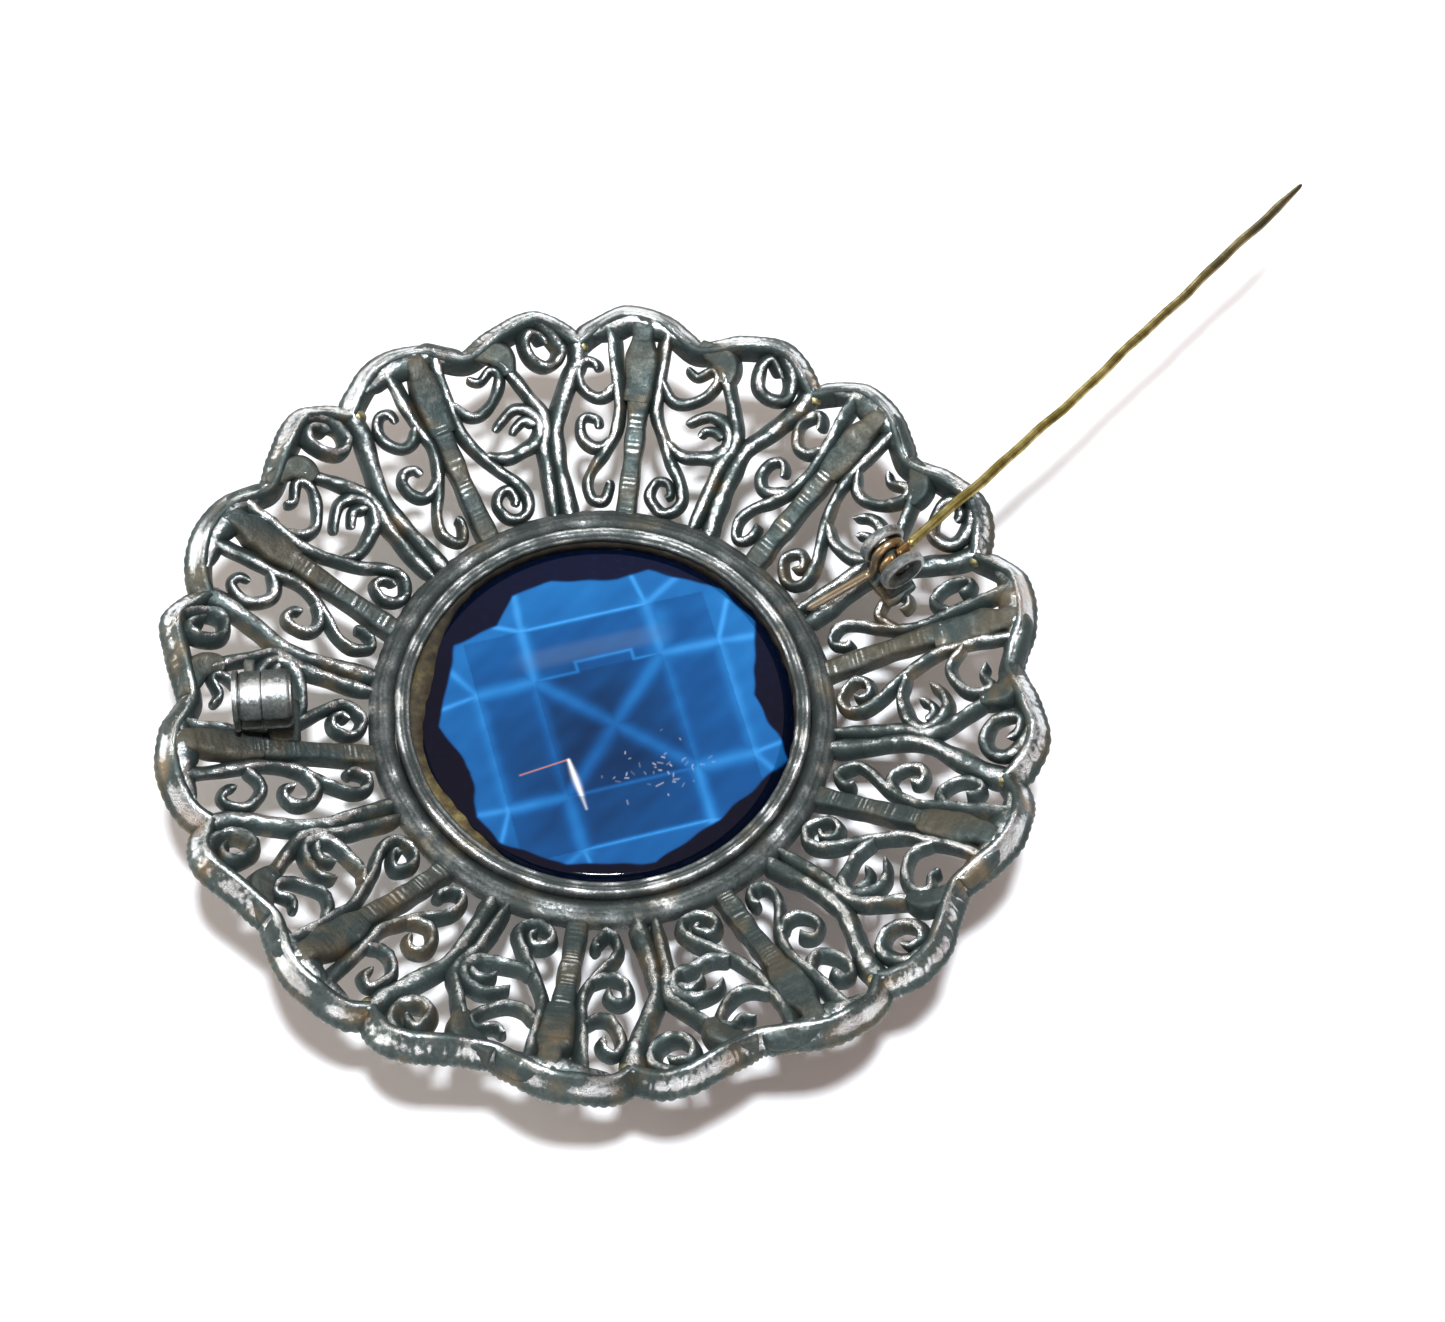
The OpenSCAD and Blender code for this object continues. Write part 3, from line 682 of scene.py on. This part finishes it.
def stone_back():
    """Flat back of the stone with a steep edge, on a polar grid; returns points, glow, a painted white
    highlight with scratches, and a grey band with a painted red glint.

    Glow is the light seen through the facets: m is the distance from the cut's centre, measured square to the
    sides of its squares, and picks the ring of facets that a point is in."""
    r = np.linspace(0.02, STONE_R - 0.02, 230)[:, None]
    a = np.linspace(0, 2 * math.pi, 560, endpoint=False)[None]
    x, y = r * np.cos(a), r * np.sin(a)
    z = 6.15 - 0.0006 * r ** 2 - 0.85 * np.clip(r - 13.3, 0, None)
    t = math.radians(CUT_TURN + 45)
    p = (x - CUT[0]) * math.cos(t) + (y - CUT[1]) * math.sin(t)
    q = (y - CUT[1]) * math.cos(t) - (x - CUT[0]) * math.sin(t)
    m = np.maximum(np.abs(p), np.abs(q))
    cell = 0.27 + 0.05 * (m > CUT_CORNER * 0.707) + 0.08 * (m > CUT_OUTER * 0.887)
    cell = cell + 0.05 * np.clip(y / 10, -1, 1)
    cell = cell - 0.05 * bell(m, 0, 3.6) + 0.018 * waves(x, y, 0 * x, 9, 1.8)
    cell = cell + 0.03 * waves(x, y, 0 * x, 8, 9.0) + 0.04 * np.clip(np.hypot(x, y) - 8, 0, 4) / 4
    lines = 0 * x
    for start, end, width, strength in cut_lines():
        lines = np.maximum(lines, strength * bell(segment_distance(x, y, start, end), 0, width))
    spot = segment_distance(x, y, cut_point(CUT_CORNER, CUT_TURN), cut_point(9.6, CUT_TURN + 12))
    lines = np.maximum(lines, 0.5 * bell(spot, 0, 1.0))
    edge = np.min([segment_distance(x, y, c, d) for c, d in zip(LIT, LIT[1:] + LIT[:1])], axis=0)
    edge = np.where(inside(x, y, LIT), edge, -edge) + 0.10 * waves(x, y, 0 * x, 71, 2.6)
    soft = 0.5 + 0.5 * np.tanh(edge / 0.08)
    dark = 0.04 + 0.07 * np.clip(y / 12, 0, 1) + 0.02 * np.clip(waves(x, y, 0 * x, 4, 0.8), 0, 1)
    # painted light from below seen through the facets, with painted shade in the margin outside the lit outline
    glow = soft * (cell + 0.26 * lines) + (1 - soft) * dark
    # a painted white highlight in the glass, fine scratches near it, and a grey band under the upper long edge
    thin = 0.06 + 0.14 * bell(y, -6.0, 1.5)
    highlight_and_scratches = bell(segment_distance(x, y, (-2.1, -4.4), (-0.4, -8.2)), 0, thin) * (1 - 0.5 * (y < -7.2))
    nicks = 0 * x
    rng = np.random.default_rng(12)
    for _ in range(40):
        start = np.array([4.8, -4.6]) + rng.normal(0, 1, 2) * [2.0, 1.3]
        end = start + rng.normal(0, 0.2, 2)
        nicks = np.maximum(nicks, rng.uniform(0.1, 0.5) * bell(segment_distance(x, y, start, end), 0, 0.045))
    band = 0.2 * np.exp(-(((p - 6.6) / 0.8) ** 4)) * np.exp(-((q / 5.6) ** 8))
    # a painted red glint, a thin line joined to the grey band
    glint = bell(segment_distance(x, y, (-5.5, -6.0), (-2.2, -4.4)), 0, 0.07)
    band = np.maximum(band, 0.8 * glint * (glint > 0.05))
    return np.stack([x, y, z + 0 * x], -1), np.clip(glow, 0, 1), np.clip(highlight_and_scratches + nicks, 0, 1), band


stone = Build()
# the stone's wear value is painted light through the facets
back_points, glow, highlight_and_scratches, band = stone_back()
stone.grid(back_points, wear=glow, tint=highlight_and_scratches, along=band, caps=False, flip=True)
stone.faces.append(list(range(back_points.shape[1])))


def crown_ring(radius, height, count, phase):
    """Corner points of one ring of facets."""
    a = np.radians(np.arange(count) * 360 / count + phase)
    return np.stack([radius * np.cos(a), radius * np.sin(a), np.full(count, height)], -1)


def crown():
    """Front of the stone: table, star, bezel and girdle facets as flat faces between four rings of corners."""
    few, more, most = MAIN_FACETS, 2 * MAIN_FACETS, 4 * MAIN_FACETS
    table = crown_ring(9.0, 0.0, few, 22.5)
    star = crown_ring(11.6, 1.6, more, 11.25)
    girdle = crown_ring(STONE_R / math.cos(math.pi / most) - 0.08, 4.3, most, 0)
    top = crown_ring(STONE_R - 0.03, 4.9, most, 0)
    points = np.concatenate([table, star, girdle, top])
    faces = [list(range(few))[::-1]]
    for i in range(few):
        t0, t1 = i, (i + 1) % few
        s0, s1, s2 = (few + (2 * i + k) % more for k in range(3))
        faces += [[t0, s1, s0], [t0, t1, s1], [t1, s2, s1]]
    for j in range(more):
        s0, s1 = few + j, few + (j + 1) % more
        g = [few + more + (2 * j + k + 1) % most for k in range(3)]
        faces += [[s0, g[1], g[0]], [s0, s1, g[1]], [s1, g[2], g[1]]]
    for j in range(most):
        a, b = few + more + j, few + more + (j + 1) % most
        faces.append([a, b, b + most, a + most])
    return points, faces


stone.object("stone_body", GLASS, "brooch", ["stone"])

front = bpy.data.meshes.new("stone_crown")
crown_points, crown_faces = crown()
front.from_pydata((crown_points * MM).tolist(), [], crown_faces)
# light dies away from the table to the girdle
front_glow = np.repeat([0.45, 0.28, 0.12], [MAIN_FACETS, 2 * MAIN_FACETS, 8 * MAIN_FACETS])
front.attributes.new("wear", "FLOAT", "POINT").data.foreach_set("value", front_glow.astype(np.float32))
front.attributes.new("tint", "FLOAT", "POINT").data.foreach_set(
    "value", np.zeros(len(crown_points), np.float32))
front.update()
crown_piece = bpy.data.objects.new("stone_crown", front)
bpy.context.scene.collection.objects.link(crown_piece)
front.materials.append(GLASS)
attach(crown_piece, "brooch")

cement = Build()
around = np.linspace(0, 2 * math.pi, 400)[:, None]
# it shows past the lip on two stretches: pale low down on the left, dark further up
low = bell(around, math.radians(224), 0.34)
high = bell(around, math.radians(176), 0.4)
shown = low + 1.55 * high
cement_r = np.array([14.1, 14.78, 14.8, 14.3, 14.15])[None] - shown * np.array([1, 0, 0, 0.2, 0.8])[None]
cement_h = np.array([5.35, 5.15, 5.95, 6.35, 6.22])[None] + 0 * around
lump = 0.10 * waves(cement_r * np.cos(around), cement_r * np.sin(around), cement_h, 17, 1.5)
cement_r = cement_r + lump
cement.grid(np.stack([cement_r * np.cos(around), cement_r * np.sin(around), cement_h + 0.5 * lump], -1),
            wear=np.clip(1.2 * low + 0.4 * high, 0.08, 1), caps=False)
cement.object("cement_line", CEMENT, "brooch", ["cement_bead"])


# ---------------------------------------------------------------- solder beads
beads = Build()
for index in range(PETALS):
    rng = np.random.default_rng(300 + index)
    centre = on_dish(np.array([27.3]), np.array([0.90]), index)[0] + [0, 0, -0.75]
    t = np.linspace(0, math.pi, 14)[:, None]
    a = np.linspace(0, 2 * math.pi, 20, endpoint=False)[None]
    ball = np.stack([np.sin(t) * np.cos(a), np.sin(t) * np.sin(a), np.cos(t) + 0 * a], -1)
    size = 0.78 + 0.16 * waves_at(ball, 400 + index, 1.6)
    blob = centre + ball * size[..., None] * [0.95, 0.95, 0.85] * rng.uniform(0.85, 1.1)
    beads.grid(blob, wear=np.clip(ball[..., 2] * 0.6 + 0.2, 0, 1))
beads.object("solder_bead_group", SOLDER, "brooch", ["solder_beads"])


# ---------------------------------------------------------------- hinge
def x_ring(build, place, outer, inner, x0, x1, bevel, hollow, sink):
    """Drilled disc along local x: outer wall, bevelled faces, and a bore that opens out into a hollow."""
    profile = np.array([(inner, x0 + sink), (inner + hollow, x0), (outer - bevel, x0), (outer, x0 + bevel),
                        (outer, x1 - bevel), (outer - bevel, x1), (inner + hollow, x1), (inner, x1 - sink)])
    a = np.linspace(0, 2 * math.pi, 48, endpoint=False)[:, None]
    r, x = profile[None, :, 0], profile[None, :, 1]
    pts = np.stack([x + 0 * a, r * np.cos(a), r * np.sin(a)], -1)
    pts = np.concatenate([pts, pts[:1]])
    w = np.array([0, 0.1, 1.1, 0.6, 0.6, 1.1, 0.1, 0])
    build.grid(place(pts), wear=w[None], caps=False)


def rounded_block(build, place, low, high, bevel, wear, lumps=0.0, seed=1):
    """Box with rounded edges: a cube-mapped grid squeezed to a rounded box."""
    low, high = np.array(low, float), np.array(high, float)
    t = np.linspace(0, math.pi, 18)[:, None]
    a = np.linspace(0, 2 * math.pi, 40, endpoint=False)[None]
    ball = np.stack([np.sin(t) * np.cos(a), np.sin(t) * np.sin(a), np.cos(t) + 0 * a], -1)
    cube = ball / np.max(np.abs(ball), axis=-1, keepdims=True)
    half = (high - low) / 2
    core = np.clip(cube * half, -(half - bevel), half - bevel)
    pts = core + unit(cube * half - core + ball * 1e-3) * bevel
    pts = pts * (1 + lumps * waves_at(cube, seed, 1.3)[..., None]) + (low + high) / 2
    build.grid(place(pts), wear=np.clip(ball[..., 2], 0, 1) * wear + 0.1)


def tilted(points, degrees, axis, centre):
    """Points turned about local x (axis 0) or y (axis 1) through a centre."""
    a = math.radians(degrees)
    p = points - centre
    i, j = ((1, 2), (2, 0))[axis]
    q = p.copy()
    q[..., i] = p[..., i] * math.cos(a) - p[..., j] * math.sin(a)
    q[..., j] = p[..., i] * math.sin(a) + p[..., j] * math.cos(a)
    return q + centre


hinge_base = Build()
pad_centre = np.array([0, 0, -3.15])
rounded_block(hinge_base, lambda p: at_hinge(tilted(p + pad_centre, -17.8, 0, pad_centre)),
              (-2.0, -1.35, -0.3), (2.0, 1.35, 0.25), 0.28, 0.0, 0.06, 5)
hinge_base.object("hinge_pad_plate", OXIDISED, "brooch", ["hinge_pad"])

for name, x0 in (("hinge_ear_near", -EAR_IN - EAR_T), ("hinge_ear_far", EAR_IN)):
    ear = Build()
    x_ring(ear, at_hinge, EAR_R, RIVET_R + 0.01, x0, x0 + EAR_T, bevel=0.16, hollow=0.75, sink=0.35)
    rounded_block(ear, at_hinge, (x0 + 0.03, -0.95, -2.95), (x0 + EAR_T - 0.03, 0.95, -1.05), 0.16, 0.1)
    ear.object(f"{name}_lug", WORN, "brooch", [name])

rivet = Build()
end_x = EAR_IN + EAR_T - 0.5
profile = np.array([(0.02, -end_x), (0.42, -end_x), (0.58, -end_x + 0.06), (RIVET_R, -end_x + 0.16),
                    (RIVET_R, end_x - 0.16), (0.58, end_x - 0.06), (0.42, end_x), (0.02, end_x)])
turn = np.linspace(0, 2 * math.pi, 32, endpoint=False)[None]
r, x = profile[:, :1], profile[:, 1:2]
rivet_points = np.stack([x + 0 * turn, r * np.cos(turn), r * np.sin(turn)], -1)
rivet.grid(at_hinge(rivet_points), flip=True)
rivet.object("hinge_rivet_shank", WORN, "brooch", ["hinge_rivet"])


# ---------------------------------------------------------------- pin wire
def turn_path(x, start, end, samples):
    """Arc round the rivet at local x, in degrees from the top towards +y."""
    a = np.radians(np.linspace(start, end, samples))
    return np.stack([np.full(samples, x), COIL_R * np.sin(a), COIL_R * np.cos(a)], -1)


def stem_point(d):
    """Point at a distance along the stem's first straight part, in the hinge frame."""
    a = math.radians(STEM_AZ)
    return np.array([-TURN_X + d * math.cos(a), d * math.sin(a), COIL_R])


tail = Build()
arc = turn_path(TURN_X, -180, 90, 60)
drop = arc[-1] + (TAIL_BEND - arc[-1]) * np.linspace(0.1, 0.8, 7)[:, None]
run = TAIL_BEND + (TAIL_END - TAIL_BEND) * np.linspace(0.06, 1, 34)[:, None]
path = np.concatenate([arc, drop, run])
s = lengths(path)
radius = PIN_R * (1 - 0.15 * np.clip((s - s[-1] + 2) / 2, 0, 1)) * rounded_ends(len(path), 3)
tail.grid(at_hinge(tube(path, radius)), along=s[:, None], tint=0.75 * (s / s[-1])[:, None])
tail.object("pin_spring_tail_wire", COPPER, "brooch", ["pin_spring_tail"])

coil = Build()
arc = turn_path(-TURN_X, -348, -2, 72)
lead = np.array([stem_point(d) for d in np.linspace(0.1, STEM_START + 0.1, 8)])
path = np.concatenate([arc, lead])
s = lengths(path)
coil.grid(at_hinge(tube(path, PIN_R * rounded_ends(len(path), 2))), along=s[:, None])
coil.object("pin_coil_wire", COPPER, "pin_swing", ["pin_coil"])

stem = Build()
bend_dir = math.radians(STEM_AZ + STEM_BEND)
d1 = np.linspace(STEM_START - 0.12, STEM_ROOT - 0.5, 90)
first = np.array([stem_point(d) for d in d1])
d2 = np.linspace(0.5, STEM_END, 170)
second = stem_point(STEM_ROOT) + d2[:, None] * np.array([math.cos(bend_dir), math.sin(bend_dir), 0])
path = np.concatenate([first, second])
s = lengths(path)
left = np.array([-math.sin(bend_dir), math.cos(bend_dir), 0])
wobble = 0.05 * np.sin(s * 0.55) + 0.03 * np.sin(s * 1.3 + 1)
fade = np.clip(s / 3, 0, 1) * np.clip((s[-1] - s) / 3, 0, 1)
path = path + left * (wobble * fade)[:, None]
taper = np.interp(s, [0, s[-1] - 3.2, s[-1] - 0.25, s[-1]], [1, 1, 0.48, 0.3])
fuller = 1 + 0.03 * np.sin(s * 2.1) * np.sin(s * 0.7) + 0.08 * bell(s, 7, 4.5) * np.clip(s - 1.5, 0, 1)
stem.grid(at_hinge(tube(path, PIN_R * taper * fuller * rounded_ends(len(path), 2), 16)), along=s[:, None],
          tint=(np.clip((s - 22) / 22, 0, 1) * 0.75)[:, None])
stem.object("pin_stem_wire", BRASS, "pin_flex", ["pin_stem"])


# ---------------------------------------------------------------- catch
def c_tube(build, outer, inner, x0, x1, ease0, ease1, wear):
    """Open-sided tube along local x with its mouth towards +y: a C outline carried along x, edges eased."""
    gap_out = math.asin(MOUTH_W / 2 / outer)
    gap_in = math.asin(min(MOUTH_W / 2 / inner, 0.98))
    n_out, n_in = 64, 48
    a_out = np.linspace(gap_out, 2 * math.pi - gap_out, n_out)
    a_in = np.linspace(2 * math.pi - gap_in, gap_in, n_in)

    def outline(shrink):
        o = np.stack([(outer - shrink) * np.cos(a_out), (outer - shrink) * np.sin(a_out)], -1)
        ease = min(shrink, 0.08)
        i = np.stack([(inner + ease) * np.cos(a_in), (inner + ease) * np.sin(a_in)], -1)
        return np.concatenate([o, i])

    rings = []
    for x, shrink in ((x0, ease0), (x0 + ease0 * 0.3, ease0 * 0.3), (x0 + ease0, 0), (x1 - ease1, 0),
                      (x1 - ease1 * 0.3, ease1 * 0.3), (x1, ease1)):
        yz = outline(shrink)
        rings.append(np.concatenate([np.full((len(yz), 1), x), yz], 1))
    pts = np.array(rings)
    # painted highlight along the top, painted shade towards the mouth and underneath
    w = np.concatenate([wear * bell(a_out, 1.45, 0.5) + 0.1, np.zeros(n_in)])[None]
    build.grid(at_catch(pts), wear=w, caps=False, flip=True)
    # each end is closed by quads across the wall, from the outer arc to the matching points of the inner one
    for end, ring in ((0, 0), (1, len(rings) - 1)):
        base = build.count - (len(rings) - ring) * (n_out + n_in)
        inner_ids = base + n_out + (np.linspace(n_in - 1, 0, n_out)).astype(int)
        for k in range(n_out - 1):
            quad = [base + k, base + k + 1, int(inner_ids[k + 1]), int(inner_ids[k])]
            if quad[2] == quad[3]:
                quad = quad[:3]
            build.faces.append(quad if end else quad[::-1])


hook = Build()
c_tube(hook, SPINDLE_R, BORE_R, -2.2, 1.95, 0.06, 0.06, 0.1)
c_tube(hook, BARREL_R, SPINDLE_R - 0.05, -2.2, -0.15, 0.38, 0.08, 0.9)
rounded_block(hook, at_catch, (-2.1, -0.8, -3.4), (-0.25, 0.8, -1.35), 0.15, 0.1)
hook.object("catch_hook_body", WORN, "brooch", ["catch_hook"])

end_ring = Build()
c_tube(end_ring, BARREL_R + 0.12, SPINDLE_R, 1.55, 1.95, 0.08, 0.16, 0.95)
end_ring.object("catch_end_ring_body", WORN, "brooch", ["catch_end_ring"])

sleeve = Build()
c_tube(sleeve, BARREL_R - 0.02, SPINDLE_R + 0.04, -0.08, 1.48, 0.08, 0.2, 0.9)
# the thumb tab stands on the side away from the mouth, lifted 22 degrees
rounded_block(sleeve, lambda p: at_catch(tilted(p, -22, 0, 0)),
              (0.3, -2.9, -0.24), (1.1, -1.85, 0.24), 0.22, 0.05, 0.05, 3)
sleeve.object("catch_sleeve_body", WORN, "sleeve", ["catch_sleeve"])

catch_base = Build()
pad_centre = np.array([-1.35, 0, -3.4])
rounded_block(catch_base, lambda p: at_catch(tilted(p + pad_centre, -21.8, 1, pad_centre)),
              (-1.2, -1.7, -0.3), (1.2, 1.7, 0.3), 0.28, 0.25, 0.06, 8)
catch_base.object("catch_pad_plate", OXIDISED, "brooch", ["catch_pad"])


# ---------------------------------------------------------------- floor, camera and light
# The floor, in metres, lies a hair under the stone's table
FLOOR_HALF = 2
FLOOR_Z = -0.00002
CAMERA_PLACE = (8.41, -106.39, 210.68)
CAMERA_TILT = 28.56
CAMERA_ROLL = 5.24
CAMERA_LENS = 78.06

floor_mesh = bpy.data.meshes.new("floor")
corners = [(x, y, FLOOR_Z) for x, y in ((-FLOOR_HALF, -FLOOR_HALF), (FLOOR_HALF, -FLOOR_HALF),
                                         (FLOOR_HALF, FLOOR_HALF), (-FLOOR_HALF, FLOOR_HALF))]
floor_mesh.from_pydata(corners, [], [(0, 1, 2, 3)])
floor = bpy.data.objects.new("floor", floor_mesh)
bpy.context.scene.collection.objects.link(floor)
floor_mat, tree = material("white_paper")
paper = add(tree, "ShaderNodeBsdfPrincipled", {"Base Color": colour("#FBFBFB"), "Roughness": 0.9})
add(tree, "ShaderNodeOutputMaterial", {"Surface": paper.outputs[0]})
floor_mesh.materials.append(floor_mat)

camera_data = bpy.data.cameras.new("camera")
camera_data.sensor_width = 36
camera_data.lens = CAMERA_LENS
camera_data.clip_start = 0.01
camera = bpy.data.objects.new("camera", camera_data)
bpy.context.scene.collection.objects.link(camera)
camera.matrix_world = (Matrix.Translation(Vector(CAMERA_PLACE) * MM)
                       @ Matrix.Rotation(math.radians(CAMERA_TILT), 4, "X")
                       @ Matrix.Rotation(math.radians(CAMERA_ROLL), 4, "Z"))
bpy.context.scene.camera = camera


def lamp(name, place, size, power, tone):
    """Square soft box at a place in mm, aimed at the dish."""
    data = bpy.data.lights.new(name, "AREA")
    data.size = size * MM
    data.energy = power
    data.color = colour(tone)[:3]
    light = bpy.data.objects.new(name, data)
    light.location = Vector(place) * MM
    light.rotation_euler = (Vector((0, 0, 8)) * MM - light.location).to_track_quat("-Z", "Y").to_euler()
    bpy.context.scene.collection.objects.link(light)


lamp("key", (15, -80, 700), 75, 5.8, "#F2F8FF")
lamp("front_fill", (40, -700, 270), 240, 1.0, "#F8F8F8")
lamp("back_fill", (-60, 620, 280), 260, 0.9, "#F4FAF4")
lamp("left_fill", (-640, 60, 260), 240, 1.7, "#FAF8F0")
world = bpy.data.worlds.new("studio")
bpy.context.scene.world = world
world.use_nodes = True
world.node_tree.nodes["Background"].inputs["Color"].default_value = colour("#FFDCCE")
world.node_tree.nodes["Background"].inputs["Strength"].default_value = 0.27
bpy.context.scene.view_settings.view_transform = "Standard"
